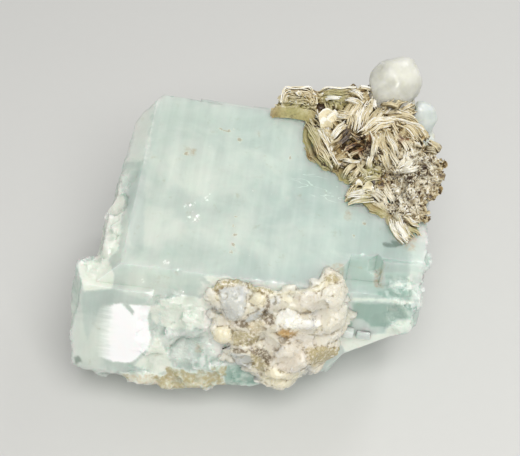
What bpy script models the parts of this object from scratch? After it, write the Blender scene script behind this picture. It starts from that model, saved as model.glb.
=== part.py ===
"""Aquamarine specimen: a stubby beryl prism lying on its side, with a smaller prism grown into it,
muscovite blades over its right-hand end, two pale quartz crystals and a feldspar cluster.

Metres, +Z up. The prism's long axis runs roughly along +X, and -Y is the specimen's front.
Everything is laid out about a point inside the prism, and moved at the end so that the origin
is the bottom centre of the bounding box, on the flat that the specimen lies on.
"""

import math
import random

import bmesh
import bpy
from mathutils import Matrix, Vector

mm = 0.001

# Driving dimensions, in millimetres and degrees.
axis_turn = -7.0  # the long axis c, about Z
axis_dip = 5.5  # c falls this far towards the right
top_turn = 10.0  # the top face leans this far towards the front
front_turn = 70.0  # and the next faces follow at 60 degrees
under_turn = 130.0
lower_back_turn = 250.0
back_turn = 310.0
top_distance = 7.4  # faces, from the middle of the prism
core_front_distance = 8.9
front_distance = 13.05  # of the thick left part
under_distance = 18.6
lower_back_distance = 15.6
back_distance = 13.9
floor_distance = 14.6  # the flat below
thick_part_end = 7.5  # along c
front_taper = 1.7  # degrees
break_lean = 31  # degrees, of the break below the right end
touch_gap = 0.3  # between pieces that meet
merge_distance = 0.001

mica_blade = (1.9, 1.2, 0.2)  # half length, half width and half thickness
mica_flake = (1.3, 0.8, 0.15)
mica_proud = 0.9  # the blades stand out of their lumps by this

yaw = math.radians(axis_turn)
dip = math.radians(axis_dip)
c_axis = Vector((math.cos(yaw) * math.cos(dip), math.sin(yaw) * math.cos(dip), -math.sin(dip)))
c_up = (Vector((0, 0, 1)) - c_axis * c_axis.z).normalized()
c_front = c_axis.cross(c_up)
golden_turn = math.pi * (3 - math.sqrt(5))


def facing(turn, lean=0.0):
    """Unit vector turned about c from up towards the front, then leaned towards +c, in degrees."""
    around = c_up * math.cos(math.radians(turn)) + c_front * math.sin(math.radians(turn))
    return around * math.cos(math.radians(lean)) + c_axis * math.sin(math.radians(lean))


def on_face(turn, distance, spot):
    """A point on a side face: how far along c, how far down the face and how far out of it."""
    along, down, out = spot
    return c_axis * along + facing(turn + 90) * down + facing(turn) * (distance + out)


# ---- Blender helpers ----

def clear_scene():
    for obj in list(bpy.data.objects):
        bpy.data.objects.remove(obj)


def collection(name, parent=None):
    made = bpy.data.collections.new(name)
    (parent or bpy.context.scene.collection).children.link(made)
    return made


def place(bm, name, home):
    """Makes a bmesh, laid out in millimetres, an object in metres."""
    bmesh.ops.scale(bm, vec=(mm, mm, mm), verts=bm.verts)
    bmesh.ops.recalc_face_normals(bm, faces=bm.faces)
    mesh = bpy.data.meshes.new(name)
    bm.to_mesh(mesh)
    bm.free()
    obj = bpy.data.objects.new(name, mesh)
    home.objects.link(obj)
    return obj


def place_cutters(pieces, name):
    """Bmeshes as hidden wire objects, in one collection that a Boolean reads."""
    group = collection(name, cutters)
    for number, bm in enumerate(pieces):
        obj = place(bm, f"{name}_{number:02}", group)
        obj.hide_render = True
        obj.display_type = "WIRE"
    return group


def boolean(obj, group, operation):
    modifier = obj.modifiers.new(operation.title(), "BOOLEAN")
    modifier.operation = operation
    modifier.solver = "EXACT"
    modifier.operand_type = "COLLECTION"
    modifier.collection = group


def fused(pieces, name):
    """One object from overlapping bmeshes."""
    obj = place(pieces[0], name, specimen)
    boolean(obj, place_cutters(pieces[1:], name + "_pieces"), "UNION")
    return obj


def island(start):
    """Every vertex joined to one by edges."""
    found = {start}
    waiting = [start]
    while waiting:
        vert = waiting.pop()
        for edge in vert.link_edges:
            other = edge.other_vert(vert)
            if other not in found:
                found.add(other)
                waiting.append(other)
    return found


def settle(obj):
    """Applies the Booleans and drops the crumbs that a cut leaves loose."""
    evaluated = obj.evaluated_get(bpy.context.evaluated_depsgraph_get())
    bm = bmesh.new()
    bm.from_mesh(evaluated.data)
    left = set(bm.verts)
    islands = []
    while left:
        islands.append(island(next(iter(left))))
        left -= islands[-1]
    islands.sort(key=len)
    for crumb in islands[:-1]:
        bmesh.ops.delete(bm, geom=list(crumb), context="VERTS")
    bmesh.ops.remove_doubles(bm, verts=bm.verts, dist=merge_distance * mm)
    bmesh.ops.dissolve_degenerate(bm, edges=bm.edges, dist=merge_distance * mm)
    bmesh.ops.triangulate(bm, faces=bm.faces)
    obj.modifiers.clear()
    bm.to_mesh(obj.data)
    bm.free()


def set_material(obj, colour, roughness):
    made = bpy.data.materials.new(obj.name)
    made.use_nodes = True
    shader = made.node_tree.nodes["Principled BSDF"]
    shader.inputs["Base Color"].default_value = (*colour, 1)
    shader.inputs["Roughness"].default_value = roughness
    shader.inputs["Metallic"].default_value = 0
    obj.data.materials.append(made)


# ---- shapes, all in millimetres ----

def cut(bm, normal, distance):
    """Slices a convex bmesh off beyond a plane and caps the cut."""
    ret = bmesh.ops.bisect_plane(
        bm,
        geom=bm.verts[:] + bm.edges[:] + bm.faces[:],
        dist=1e-5,
        plane_co=normal * distance,
        plane_no=normal,
        clear_outer=True,
    )
    rim = [e for e in ret["geom_cut"] if isinstance(e, bmesh.types.BMEdge)]
    if len(rim) > 2:
        bmesh.ops.edgeloop_fill(bm, edges=rim)


def crystal(planes, grow=0.0):
    """A block cut by (normal, distance) planes, each moved out by grow."""
    bm = bmesh.new()
    bmesh.ops.create_cube(bm, size=90)
    for normal, distance in planes:
        cut(bm, normal, distance + grow)
    return bm


def spread(count, lowest, rng):
    """Directions spread evenly from straight up down to the given height, then turned a little."""
    for index in range(count):
        height = 1 - (1 - lowest) * (index + 0.5) / count
        around = golden_turn * index + rng.uniform(-0.25, 0.25)
        flat = math.sqrt(1 - height * height)
        yield Vector((flat * math.cos(around), flat * math.sin(around), height))


def reach_of(radii, direction):
    return Vector([d * r for d, r in zip(direction, radii)]).length


def grain(centre, radii, seed, grow=0.0, facets=20):
    """A faceted lump: flats all over an ellipsoid."""
    rng = random.Random(seed)
    planes = [(n, reach_of(radii, n) * rng.uniform(0.84, 1.0)) for n in spread(facets, -1, rng)]
    bm = crystal(planes, grow)
    bmesh.ops.translate(bm, vec=centre, verts=bm.verts)
    return bm


def blade(centre, along, face, size):
    """A six-sided mica plate: its length lies along one direction and its flat faces another."""
    half_length, half_width, half_thickness = size
    bm = bmesh.new()
    bmesh.ops.create_cone(
        bm, cap_ends=True, segments=6, radius1=1, radius2=1, depth=2 * half_thickness)
    bmesh.ops.scale(bm, vec=(half_length, half_width, 1), verts=bm.verts)
    normal = (face - along * face.dot(along)).normalized()
    turn = Matrix((along, normal.cross(along), normal)).transposed().to_4x4()
    bmesh.ops.transform(bm, matrix=Matrix.Translation(centre) @ turn, verts=bm.verts)
    return bm


# ---- aquamarine: each face is its direction and its distance from the middle ----

flat_below = (Vector((0, 0, -1)), floor_distance)


def right_break(distance):
    return (facing(-34, 88), distance)


def prism(front, extra, grow):
    """The main hexagonal prism, bevelled on the left and broken on the right."""
    sides = [
        (facing(top_turn), top_distance),
        (facing(front_turn, front_taper), front),
        (facing(under_turn), under_distance),
        (facing(lower_back_turn), lower_back_distance),
        (facing(back_turn), back_distance),
    ]
    left_end = [
        (facing(top_turn, -43), 15.2),
        (facing(-30, -85), 17.3),
        (facing(-56, -49), 19.4),
        (facing(-58, -62), 19.3),
        (facing(front_turn, -60), 21.4),
    ]
    right_end = [
        right_break(18.9),
        (facing(under_turn, break_lean), 16.7),
        (facing(133, 70), 20.0),
        (facing(back_turn, 50), 21.5),
        (facing(200, 55), 20.5),
    ]
    return crystal(sides + left_end + right_end + [flat_below] + extra, grow)


def small_prism(grow):
    """Grown into the main prism's lower left, parallel to it and a little proud of its front."""
    return crystal([
        (facing(top_turn), 5.0),
        (facing(front_turn), 14.0),
        (facing(under_turn), 19.2),
        (facing(124, -18), 24.1),
        (facing(200), 12.0),
        (facing(-75, -23), -1.4),
        (facing(-22, -87), 19.4),
        (facing(100, -80), 21.9),
        (facing(60, -52), 22.6),
        (c_axis, -10.4),
        flat_below,
    ], grow)


def terrace(top, front, start, end, grow):
    """A step between the top and front faces, on the right of the prism."""
    return crystal([
        (facing(top_turn), top),
        (facing(front_turn, 4), front),
        (facing(under_turn, break_lean), 17.1),
        (facing(240), 2.0),
        (facing(320), 2.0),
        (-c_axis, -start),
        right_break(end),
        flat_below,
    ], grow)


def back_step(back, lower_back, top, left, right, grow):
    """A thin slab that steps out of the two back faces."""
    return crystal([
        (facing(back_turn), back),
        (facing(lower_back_turn), lower_back),
        (facing(top_turn), top),
        (facing(100), 4.0),
        (-c_axis, left),
        (c_axis, right),
        flat_below,
    ], grow)


# on the front face: (along c, down, out) and radii of lumps of broken beryl
front_lumps = [
    ((-8.6, 3.4, -1.5), (3.4, 2.1, 2.8)),
    ((-9.0, 8.8, -1.3), (3.2, 2.1, 3.4)),
    ((-5.4, 6.6, -1.5), (3.2, 2.2, 3.4)),
    ((-4.6, 11.0, -1.3), (3.4, 2.0, 2.4)),
    ((-11.0, 14.3, -1.0), (3.2, 1.7, 1.8)),
    ((-15.2, 14.3, -0.8), (1.9, 1.4, 1.1)),
    ((-7.7, 14.9, -0.7), (1.5, 1.4, 1.3)),
    ((-4.6, 13.8, -1.0), (3.3, 1.7, 1.6)),
    ((17.9, 1.2, -3.9), (1.7, 1.5, 1.7)),
    ((17.2, 4.2, -3.6), (1.5, 1.3, 1.5)),
]
# on the top face: lumps along its left edge and its right end
top_lumps = [
    ((-16.3, 7.8, -2.2), (1.2, 2.2, 1.2)),
    ((-16.6, 4.4, -2.6), (1.1, 2.4, 1.1)),
    ((-16.3, 0.6, -2.8), (0.8, 2.4, 1.0)),
    ((17.8, 4.2, -1.8), (1.8, 1.9, 1.4)),
]


def beryl_pieces(grow=0.0):
    pieces = [
        prism(core_front_distance, [], grow),
        prism(front_distance, [(c_axis, thick_part_end), (facing(under_turn, 6), 18.2)], grow),
        small_prism(grow),
        terrace(7.15, 9.75, 14.2, 18.6, grow),
        terrace(4.5, 10.8, 4.0, 19.2, grow),
        terrace(5.2, 10.3, 15.6, 18.7, grow),
        back_step(14.6, 16.1, 3.4, 9.6, 12.8, grow),
        back_step(15.1, 15.9, 0.2, 3.2, 15.4, grow),
    ]
    for seed, (spot, radii) in enumerate(front_lumps):
        pieces.append(grain(on_face(front_turn, front_distance, spot), radii, seed, grow))
    for seed, (spot, radii) in enumerate(top_lumps):
        pieces.append(grain(on_face(top_turn, top_distance, spot), radii, 20 + seed, grow))
    return pieces


def aquamarine():
    obj = fused(beryl_pieces(), "aquamarine")
    set_material(obj, (0.58, 0.76, 0.74), 0.12)


# ---- quartz: a round bud on a narrower collar, and a pale crystal beside it ----

bud_centre = Vector((15.9, 11.4, 12.9))
bud_radii = (3.35, 3.1, 2.9)
collar_offset = Vector((-0.2, -0.8, -2.9))
collar_radii = (2.7, 2.5, 2.9)
side_centre = Vector((19.0, 9.6, 8.2))
side_radii = (1.8, 1.8, 3.2)
knob_offset = Vector((1.0, -0.6, -2.4))
knob_radii = (1.1, 1.2, 1.2)


def bud_pieces(grow=0.0):
    return [
        grain(bud_centre, bud_radii, 3, grow, 60),
        grain(bud_centre + collar_offset, collar_radii, 5, grow, 30),
    ]


def side_pieces(grow=0.0):
    return [
        grain(side_centre, side_radii, 11, grow, 22),
        grain(side_centre + knob_offset, knob_radii, 12, grow, 14),
    ]


def quartz():
    bud = fused(bud_pieces(), "quartz_bud")
    side = fused(side_pieces(), "quartz_side")
    boolean(side, bud_room, "DIFFERENCE")
    boolean(side, aquamarine_room, "DIFFERENCE")
    set_material(bud, (0.80, 0.80, 0.76), 0.3)
    set_material(side, (0.72, 0.80, 0.78), 0.3)


# ---- muscovite ----

# on the top face: lumps that the blades grow from, then how many blades and of which size
mica_lumps = [
    ((13.2, -8.4, 1.0), (4.2, 3.9, 2.6), 15, mica_blade),
    ((17.0, -5.8, 0.5), (3.1, 3.8, 2.3), 12, mica_flake),
    ((8.4, -9.8, 0.6), (2.9, 2.7, 1.9), 8, mica_blade),
    ((16.3, -0.9, 0.0), (2.2, 3.4, 1.4), 8, mica_flake),
    ((12.4, -4.2, 0.0), (3.2, 2.9, 1.5), 8, mica_flake),
    ((12.6, -12.4, 0.6), (4.3, 2.2, 2.9), 10, mica_blade),
    ((9.7, -13.6, 2.4), (2.3, 1.4, 1.9), 5, mica_flake),
    ((4.4, -13.0, 0.2), (2.8, 0.9, 1.2), 0, mica_blade),
]


def mica_core():
    lumps = []
    for seed, (spot, radii, _count, _size) in enumerate(mica_lumps):
        lumps.append(grain(on_face(top_turn, top_distance, spot), radii, 40 + seed))
    return lumps


def rosette(centre, radii, count, size, seed):
    """Blades that stand out of a lump, from straight up to a little below level."""
    rng = random.Random(seed)
    made = []
    for along in spread(count, -0.2, rng):
        scale = rng.uniform(0.85, 1.15)
        half_length = size[0] * scale
        twist = Matrix.Rotation(rng.uniform(0, math.pi), 3, along)
        middle = centre + along * (reach_of(radii, along) + mica_proud - half_length)
        made.append(blade(middle, along, twist @ along.orthogonal(), (half_length, size[1] * scale, size[2])))
    return made


def book(spot, along, face, plates, size, slip):
    """A stack of flat mica plates that overlap a little, each slipped along the last."""
    along = Vector(along).normalized()
    face = Vector(face).normalized()
    centre = on_face(top_turn, top_distance, spot)
    spacing = 1.8 * size[2]
    made = []
    for index in range(plates):
        step = index - (plates - 1) / 2
        made.append(blade(centre + (face * spacing + along * slip) * step, along, face, size))
    return made


def mica_plates():
    """Rosettes over the corner, long plates down its left side, and books on the back edge."""
    plates = []
    for seed, (spot, radii, count, size) in enumerate(mica_lumps):
        plates += rosette(on_face(top_turn, top_distance, spot), radii, count, size, 60 + seed)
    plates += book((7.0, -7.4, 0.8), (0.5, -0.85, -0.1), (0.75, 0.45, 0.45), 6, (3.5, 1.3, 0.2), 0.15)
    plates += book((2.3, -13.0, 1.3), (1, -0.1, 0), (0, 0.35, 0.94), 6, (3.0, 1.3, 0.27), 0.25)
    plates += book((7.4, -13.5, 1.7), (1, -0.1, -0.1), (0, 0.5, 0.8), 5, (2.9, 1.3, 0.27), -0.2)
    plates += book((10.8, -2.3, 0.6), (1, -0.2, 0.1), (0.1, -0.3, 0.9), 4, (2.2, 1.0, 0.2), 0.3)
    return plates


def muscovite():
    obj = fused(mica_core() + mica_plates(), "muscovite")
    boolean(obj, aquamarine_room, "DIFFERENCE")
    boolean(obj, bud_room, "DIFFERENCE")
    boolean(obj, side_room, "DIFFERENCE")
    set_material(obj, (0.62, 0.54, 0.38), 0.45)


# ---- feldspar ----

# on the front face: (along c, down, out) and radii
feldspar_lumps = [
    ((-3.0, 1.9, -0.8), (2.5, 1.9, 2.2)),
    ((-0.6, 2.2, -0.7), (2.8, 2.1, 2.4)),
    ((2.0, 1.2, -0.7), (2.8, 2.1, 2.0)),
    ((4.9, 0.9, -0.9), (2.9, 2.2, 2.3)),
    ((7.8, 0.2, -2.0), (2.8, 2.7, 2.9)),
    ((8.6, 3.4, -1.9), (2.8, 2.7, 3.1)),
    ((4.6, 3.6, 0.0), (3.3, 2.0, 2.0)),
    ((1.2, 5.0, -0.7), (2.9, 1.9, 2.3)),
    ((-2.2, 6.1, -0.8), (2.6, 1.7, 1.8)),
    ((5.2, 6.4, -0.4), (3.5, 2.0, 2.3)),
    ((1.2, 8.0, -0.9), (2.6, 1.7, 1.9)),
    ((8.4, 7.0, -1.8), (2.5, 2.4, 2.7)),
    ((5.0, 9.4, -0.5), (3.5, 2.0, 2.5)),
    ((4.2, 11.5, -0.7), (3.3, 1.7, 1.5)),
    ((7.6, 9.4, -1.5), (2.3, 2.0, 2.0)),
]


def feldspar():
    lumps = []
    for seed, (spot, radii) in enumerate(feldspar_lumps):
        lumps.append(grain(on_face(front_turn, front_distance, spot), radii, 80 + seed))
    obj = fused(lumps, "feldspar")
    boolean(obj, aquamarine_room, "DIFFERENCE")
    set_material(obj, (0.80, 0.76, 0.66), 0.55)


# ---- the specimen ----

def stand_on_origin():
    """Moves the pieces so that the origin is the bottom centre of the specimen's box."""
    points = [vert.co for obj in specimen.objects for vert in obj.data.vertices]
    low = [min(p[axis] for p in points) for axis in range(3)]
    high = [max(p[axis] for p in points) for axis in range(3)]
    base = Vector(((low[0] + high[0]) / 2, (low[1] + high[1]) / 2, low[2]))
    for obj in specimen.objects:
        obj.data.transform(Matrix.Translation(-base))
    return base


clear_scene()
specimen = collection("aquamarine_specimen")
cutters = collection("cutters")
aquamarine_room = place_cutters(beryl_pieces(touch_gap), "aquamarine_room")
bud_room = place_cutters(bud_pieces(touch_gap), "bud_room")
side_room = place_cutters(side_pieces(touch_gap), "side_room")
aquamarine()
quartz()
muscovite()
feldspar()
for piece in specimen.objects:
    settle(piece)
base = stand_on_origin()
print("middle of the layout above the origin, mm:", [round(-v / mm, 2) for v in base])
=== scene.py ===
import math
import random

import bmesh
import bpy
import numpy as np
from mathutils import Matrix, Vector, noise


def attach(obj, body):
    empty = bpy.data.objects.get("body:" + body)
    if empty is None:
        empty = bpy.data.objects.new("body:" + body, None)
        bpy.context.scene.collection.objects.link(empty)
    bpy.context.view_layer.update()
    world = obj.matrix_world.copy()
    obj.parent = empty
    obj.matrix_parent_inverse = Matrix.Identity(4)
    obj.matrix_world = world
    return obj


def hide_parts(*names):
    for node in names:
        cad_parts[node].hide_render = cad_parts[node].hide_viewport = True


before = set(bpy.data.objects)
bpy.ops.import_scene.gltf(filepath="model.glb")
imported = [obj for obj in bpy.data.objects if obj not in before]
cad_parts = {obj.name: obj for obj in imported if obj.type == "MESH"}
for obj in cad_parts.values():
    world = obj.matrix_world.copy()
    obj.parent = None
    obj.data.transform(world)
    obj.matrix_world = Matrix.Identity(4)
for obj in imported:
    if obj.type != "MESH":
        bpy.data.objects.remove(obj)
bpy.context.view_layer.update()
mm = 0.001

# where things are: the long axis c of the prism, a point inside it, and its faces

middle = Vector((0.35, -0.27, 14.6))  # mm
axisTurn = math.radians(-7)
axisDip = math.radians(5.5)
topFace = (10, 7.4)  # its turn about c in degrees, and its distance from the middle in mm
frontFace = (70, 13.05)
cAxis = Vector((math.cos(axisTurn) * math.cos(axisDip), math.sin(axisTurn) * math.cos(axisDip), -math.sin(axisDip)))
cUp = (Vector((0, 0, 1)) - cAxis * cAxis.z).normalized()
cFront = cAxis.cross(cUp)


def facing(turn, lean=0):
    # turned about c from up towards the front, then leaned towards +c
    around = cUp * math.cos(math.radians(turn)) + cFront * math.sin(math.radians(turn))
    return around * math.cos(math.radians(lean)) + cAxis * math.sin(math.radians(lean))


def onFace(turn, distance, along, down, out=0):
    return middle + cAxis * along + facing(turn + 90) * down + facing(turn) * (distance + out)


def onTop(along, forward, out=0):
    return onFace(*topFace, along, forward, out)


def reach(points, way):
    # how far the points lie from the middle in a direction
    return (points - np.array(middle)) @ np.array(way)


shown = facing(40)  # the side that faces the camera

# mesh helpers, all in mm until a piece is finished


def cadCopy(node):
    bm = bmesh.new()
    bm.from_mesh(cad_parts[node].data)
    bmesh.ops.remove_doubles(bm, verts=bm.verts, dist=1e-7)
    bmesh.ops.scale(bm, vec=(1000, 1000, 1000), verts=bm.verts)
    return bm


def modified(bm, kind, settings):
    # one modifier on a bmesh
    mesh = bpy.data.meshes.new("work")
    bm.to_mesh(mesh)
    bm.free()
    work = bpy.data.objects.new("work", mesh)
    bpy.context.collection.objects.link(work)
    modifier = work.modifiers.new("work", kind)
    for name, value in settings.items():
        setattr(modifier, name, value)
    made = bmesh.new()
    made.from_object(work, bpy.context.evaluated_depsgraph_get())
    bpy.data.objects.remove(work)
    return made


def remeshed(bm, size):
    return modified(bm, "REMESH", {"mode": "VOXEL", "voxel_size": size})


def spots(bm):
    return np.array([v.co for v in bm.verts])


def normals(bm):
    bm.normal_update()
    return np.array([v.normal for v in bm.verts])


def moveTo(bm, places):
    for vert, place in zip(bm.verts, places):
        vert.co = place


def ramp(values, low, high):
    t = np.clip((values - low) / (high - low), 0, 1)
    return t * t * (3 - 2 * t)


def blob(points, centre, radius, edge):
    # 1 inside a ball, fading to 0 at its radius
    return 1 - ramp(np.linalg.norm(points - np.array(centre), axis=1) / radius, edge, 1)


def tinted(points, listed, edge):
    # 1 near any of the spots: (along, forward, out, radius) on the top face
    return np.max([blob(points, onTop(*spot[:3]), spot[3], edge) for spot in listed], axis=0)


def outlined(points, outlines):
    # how deep a point is inside the outlines, in mm, and below 0 outside; each is a row of along and down by turns,
    # in tenths of a mm
    flat = np.stack([reach(points, cAxis), reach(points, facing(130))], axis=1)
    deepest = np.full(len(flat), -1e3)
    for outline in outlines:
        corners = np.reshape(outline, (-1, 2)) / 10
        inside, far = np.zeros(len(flat), bool), np.full(len(flat), 1e3)
        for start, end in zip(corners, np.roll(corners, -1, axis=0)):
            edge, here = end - start, flat - start
            part = np.clip(here @ edge / (edge @ edge + 1e-9), 0, 1)
            far = np.minimum(far, np.linalg.norm(here - part[:, None] * edge, axis=1))
            crossing = (start[1] > flat[:, 1]) != (end[1] > flat[:, 1])
            inside ^= crossing & (here[:, 0] < here[:, 1] * edge[0] / (edge[1] or 1))
        deepest = np.maximum(deepest, np.where(inside, far, -far))
    return deepest


def waves(points, size, seed, octaves=2):
    # smooth noise from about -1 to 1
    shift = Vector((17.3 * seed, 5.1 * seed, -9.7 * seed))
    return np.array([noise.fractal(Vector(p) / size + shift, 1.0, 2.0, octaves) for p in points])


def planes(points, size, seed):
    # the space is parted in cells, and each cell has a tilted plane of its own
    shift = Vector((13.7 * seed, -4.3 * seed, 8.9 * seed))
    found = []
    for p in points:
        here = Vector(p) / size + shift
        centre = noise.voronoi(here)[1][0]
        tilt = noise.cell_vector(centre * 7.3) - Vector((0.5, 0.5, 0.5))
        found.append((here - centre).dot(tilt))
    return np.array(found)


def joined(bm):
    # the pairs of vertices that share an edge
    bm.verts.index_update()
    return np.array([[v.index for v in edge.verts] for edge in bm.edges])


def eased(places, pairs, times, weight=1.0):
    # every place moved towards the middle of its neighbours
    first, second = pairs.T
    size = len(places)
    count = np.bincount(pairs.ravel(), minlength=size)[:, None]
    for _ in range(times):
        total = np.stack([
            np.bincount(first, places[second, axis], size) + np.bincount(second, places[first, axis], size)
            for axis in range(3)], axis=1)
        places = places + (total / count - places) * np.reshape(weight, (-1, 1)) * 0.6
    return places


def hollows(bm, places, pairs, times):
    # above 0 in hollows and below 0 on ridges, in mm
    return ((eased(places, pairs, times) - places) * normals(bm)).sum(axis=1)


def chipped(bm, places, chosen, count, widths, depths, rng):
    # shell-shaped chips: a ball that stands just outside the surface takes what is inside it
    ways = normals(bm)
    for index in rng.choices(list(chosen), k=count):
        width, depth = rng.uniform(*widths), rng.uniform(*depths)
        radius = (width ** 2 + depth ** 2) / (2 * depth)
        spot = places[index].copy()
        centre = spot + ways[index] * (radius - depth)
        away = places - centre
        far = np.linalg.norm(away, axis=1)
        inside = (far < radius) & (np.linalg.norm(places - spot, axis=1) < 1.6 * width)
        places[inside] = centre + away[inside] / far[inside, None] * radius
    return places


def mark(bm, **marks):
    # values from 0 to 1 that the materials read
    for name, values in marks.items():
        layer = bm.verts.layers.float.get(name) or bm.verts.layers.float.new(name)
        for vert, value in zip(bm.verts, values):
            vert[layer] = value


def finish(bm, name, material, sharp, body="root"):
    # a shape in mm becomes a piece in metres; edges past the angle "sharp" stay crisp
    bmesh.ops.scale(bm, vec=(mm, mm, mm), verts=bm.verts)
    for face in bm.faces:
        face.smooth = True
    mesh = bpy.data.meshes.new(name)
    bm.to_mesh(mesh)
    bm.free()
    mesh.set_sharp_from_angle(angle=math.radians(sharp))
    piece = bpy.data.objects.new(name, mesh)
    bpy.context.collection.objects.link(piece)
    piece.data.materials.append(material)
    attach(piece, body)
    print(name, "has", len(mesh.polygons), "faces")
    return piece


# materials

class Value:
    # a socket that can be used in sums
    def __init__(self, socket):
        self.socket = socket

    def math(self, operation, *others, clamp=False):
        node = self.socket.id_data.nodes.new("ShaderNodeMath")
        node.operation = operation
        node.use_clamp = clamp
        for slot, value in zip(node.inputs, (self, *others)):
            feed(slot, value)
        return Value(node.outputs[0])

    def __add__(self, other):
        return self.math("ADD", other)

    def __sub__(self, other):
        return self.math("SUBTRACT", other)

    def __rsub__(self, other):
        return self.math("MULTIPLY_ADD", -1, other)

    def __mul__(self, other):
        return self.math("MULTIPLY", other)

    def __truediv__(self, other):
        return self.math("DIVIDE", other)

    def __pow__(self, other):
        return self.math("POWER", other)

    __radd__ = __add__
    __rmul__ = __mul__

    def clamp(self):
        return self.math("ADD", 0, clamp=True)

    def most(self, other):
        return self.math("MAXIMUM", other)


def feed(slot, value):
    if isinstance(value, Value):
        slot.id_data.links.new(value.socket, slot)
    elif isinstance(value, (tuple, list, Vector)) and slot.type == "RGBA":
        slot.default_value = (*value, 1)
    else:
        slot.default_value = value


class Finish:
    # one material and what its nodes share
    def __init__(self, name):
        self.material = bpy.data.materials.new(name)
        self.material.use_nodes = True
        self.tree = self.material.node_tree
        self.tree.nodes.clear()
        objectPlace = self.node("ShaderNodeTexCoord", output="Object")
        self.place = self.node("ShaderNodeVectorMath", {"operation": "SCALE"}, {0: objectPlace, "Scale": 1000})

    def node(self, kind, settings=None, inputs=None, output=0):
        made = self.tree.nodes.new(kind)
        for name, value in (settings or {}).items():
            setattr(made, name, value)
        for name, value in (inputs or {}).items():
            feed(made.inputs[name], value)
        return Value(made.outputs[output]) if made.outputs else None

    def along(self, direction):
        return self.node("ShaderNodeVectorMath", {"operation": "DOT_PRODUCT"}, {0: self.place, 1: direction}, "Value")

    def stretched(self, *sizes):
        # the place in sizes measured along c, towards the front and up
        parts = [self.along(way) / size for way, size in zip((cAxis, cFront, cUp), sizes)]
        return self.node("ShaderNodeCombineXYZ", {}, dict(enumerate(parts)))

    def noise(self, size=1.0, detail=3, rough=0.5, bend=0.0, place=None):
        return self.node("ShaderNodeTexNoise", {}, {
            "Vector": place or self.place, "Scale": 1 / size, "Detail": detail, "Roughness": rough, "Distortion": bend})

    def grains(self, size, output="Distance", place=None):
        return self.node("ShaderNodeTexVoronoi", {}, {
            "Vector": place or self.place, "Scale": 1 / size}, output)

    def between(self, value, low, high):
        return self.node("ShaderNodeMapRange", {"interpolation_type": "SMOOTHSTEP"}, {
            "Value": value, "From Min": low, "From Max": high}, "Result")

    def attributes(self, *names):
        return [self.node("ShaderNodeAttribute", {"attribute_name": name}, {}, "Fac") for name in names]

    def mix(self, factor, a, b):
        made = self.tree.nodes.new("ShaderNodeMix")
        made.data_type = "RGBA"
        for slot, value in zip((made.inputs[0], made.inputs[6], made.inputs[7]), (factor, a, b)):
            feed(slot, value)
        return Value(made.outputs[2])

    def layered(self, colour, *layers):
        # each layer covers what is under it by its share
        for share, tint in layers:
            colour = self.mix(share, colour, tint)
        return colour

    def bump(self, height, depth):
        # height from 0 to 1 stands for this many mm
        return self.node("ShaderNodeBump", {}, {"Height": height, "Distance": depth * mm, "Strength": 1.0})

    def clear(self, colour, rough, ior, bumps):
        return self.node("ShaderNodeBsdfPrincipled", {}, {
            "Base Color": colour, "Roughness": rough, "IOR": ior, "Transmission Weight": 1.0, "Normal": bumps})

    def milky(self, colour, rough, ior, bumps, share, spread, depth):
        # light goes this many mm deep, and each colour spreads by its own part of that
        return self.node("ShaderNodeBsdfPrincipled", {}, {
            "Base Color": colour, "Roughness": rough, "IOR": ior, "Normal": bumps,
            "Subsurface Weight": share, "Subsurface Radius": Vector(spread), "Subsurface Scale": depth * mm})

    def blend(self, factor, first, second):
        return self.node("ShaderNodeMixShader", {}, {0: factor, 1: first, 2: second})

    def output(self, surface, **more):
        self.node("ShaderNodeOutputMaterial", {}, {"Surface": surface, **more})
        return self.material


# aquamarine

beryl = {
    "detail": 8,  # octree levels of the remesh
    "fill": 0.66,
    "absorbColor": (0.66, 0.88, 0.84),
    "absorb": 50,  # per metre
    "clearColor": (0.90, 0.97, 0.96),
    "paleColor": (0.79, 0.86, 0.78),
    "blueColor": (0.66, 0.80, 0.745),
    "deepColor": (0.34, 0.47, 0.41),
    "tealColor": (0.27, 0.40, 0.34),
    "darkColor": (0.15, 0.21, 0.17),
    "greyColor": (0.62, 0.71, 0.67),
    "creamColor": (0.76, 0.76, 0.66),
    "frostAndPaintedLightColor": (0.86, 0.88, 0.81),
    "gleamAndFleckColor": (0.95, 0.97, 0.94),
    "tanColor": (0.66, 0.58, 0.42),
    "stainColor": (0.42, 0.36, 0.18),
    "speckColor": (0.34, 0.28, 0.18),
    "ior": 1.575,
    "lieBack": [(40, 7.95, 6.8), (70, 9.8, 0)],  # face turn, its distance, how far forward it starts
    # chips: how many, then their widths and depths in mm
    "brokenChips": (220, (0.4, 1.3), (0.06, 0.28)),
    "edgeChips": (300, (0.3, 0.8), (0.05, 0.14)),
    "outlineEdge": {"paintedLight": 1.2},  # how softly an outline ends, mm; the others take 0.45
}
# where the surface is broken: (face turn, its distance), (along c, down the face), radius
brokenSpots = [
    (70, 13.05, -8.5, 4.5, 3.6), (70, 13.05, -8.8, 9, 4.4), (70, 13.05, -5.2, 6, 4.4), (70, 13.05, -4.6, 11, 4.6),
    (70, 13.05, -11, 14.8, 4), (70, 13.05, -15, 14.8, 2.6), (70, 13.05, -0.5, 12.5, 4), (70, 13.05, -4.5, 14.5, 4),
    (70, 9.8, 17.9, 1.2, 2.8), (70, 9.8, 17.8, 4, 2.6), (70, 9, 16.9, -0.5, 1.9), (10, 5.2, -16.3, 7.8, 3),
    (10, 4.8, -16.8, 4.4, 3), (10, 4.6, -16.5, 0.6, 3.2), (10, 4.8, -17.4, 10.5, 2.2),
]
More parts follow.
